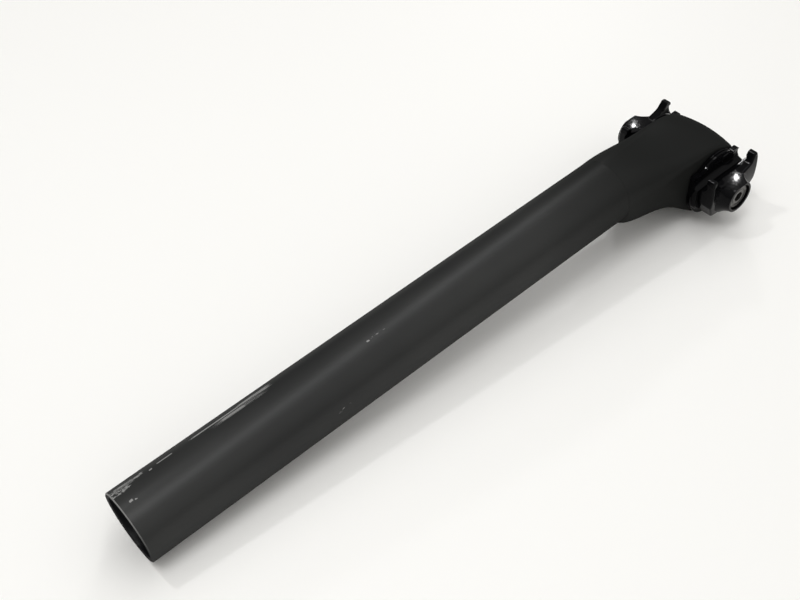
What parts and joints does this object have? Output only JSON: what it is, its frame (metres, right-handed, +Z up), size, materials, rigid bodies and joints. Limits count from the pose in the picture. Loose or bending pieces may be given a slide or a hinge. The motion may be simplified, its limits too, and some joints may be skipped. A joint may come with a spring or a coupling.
{
  "type": "bicycle seatpost",
  "caption": "Black carbon seatpost: a round tube with a set-back neck, a barrel across the head and a side-bolt clamp with hooked ears that hold the saddle rails.",
  "frame": {"origin": "on the ground under the middle of the lying post's box", "axes": "+X along the tube to the saddle clamp, +Z up, towards the front of the post as it lies on its back, and the rider's left is -Y"},
  "size_m": [0.3428, 0.071, 0.0523],
  "materials": {
    "carbon": "satin black lacquer over carbon fibre, with pale scuffs near the open end",
    "ear": "gloss black on forged aluminium",
    "bolt": "dark grey plated steel"
  },
  "bodies": {
    "post": {"post": "carbon"},
    "ear_left": {"inner_ear_left": "ear"},
    "ear_right": {"inner_ear_right": "ear"},
    "jaw_left": {"outer_ear_left": "ear"},
    "bolt": {"clamp_bolt": "bolt"},
    "jaw_right": {"outer_ear_right": "ear", "clamp_nut": "bolt"}
  },
  "joints": [
    {"name": "tilt_left", "type": "hinge", "parent": "post", "child": "ear_left", "pos_m": [0.15143, 0, 0.021], "axis": [0, 1, 0], "range_deg": [-25, 105]},
    {"name": "tilt_right", "type": "hinge", "parent": "post", "child": "ear_right", "pos_m": [0.15143, 0, 0.021], "axis": [0, 1, 0], "range_deg": [-25, 105]},
    {"name": "open_left", "type": "slide", "parent": "ear_left", "child": "jaw_left", "axis": [0, -1, 0], "range_m": [0, 0.002]},
    {"name": "open_right", "type": "slide", "parent": "ear_right", "child": "jaw_right", "axis": [0, 1, 0], "range_m": [0, 0.002]},
    {"name": "bolt_turn", "type": "hinge", "parent": "jaw_left", "child": "bolt", "pos_m": [0.15143, 0, 0.021], "axis": [0, -1, 0], "range_deg": [0, 1152]}
  ],
  "couplings": [
    {"joint": "open_right", "follows": "open_left", "ratio": 1},
    {"joint": "bolt_turn", "follows": "open_left", "rad_per_m": 10053}
  ]
}
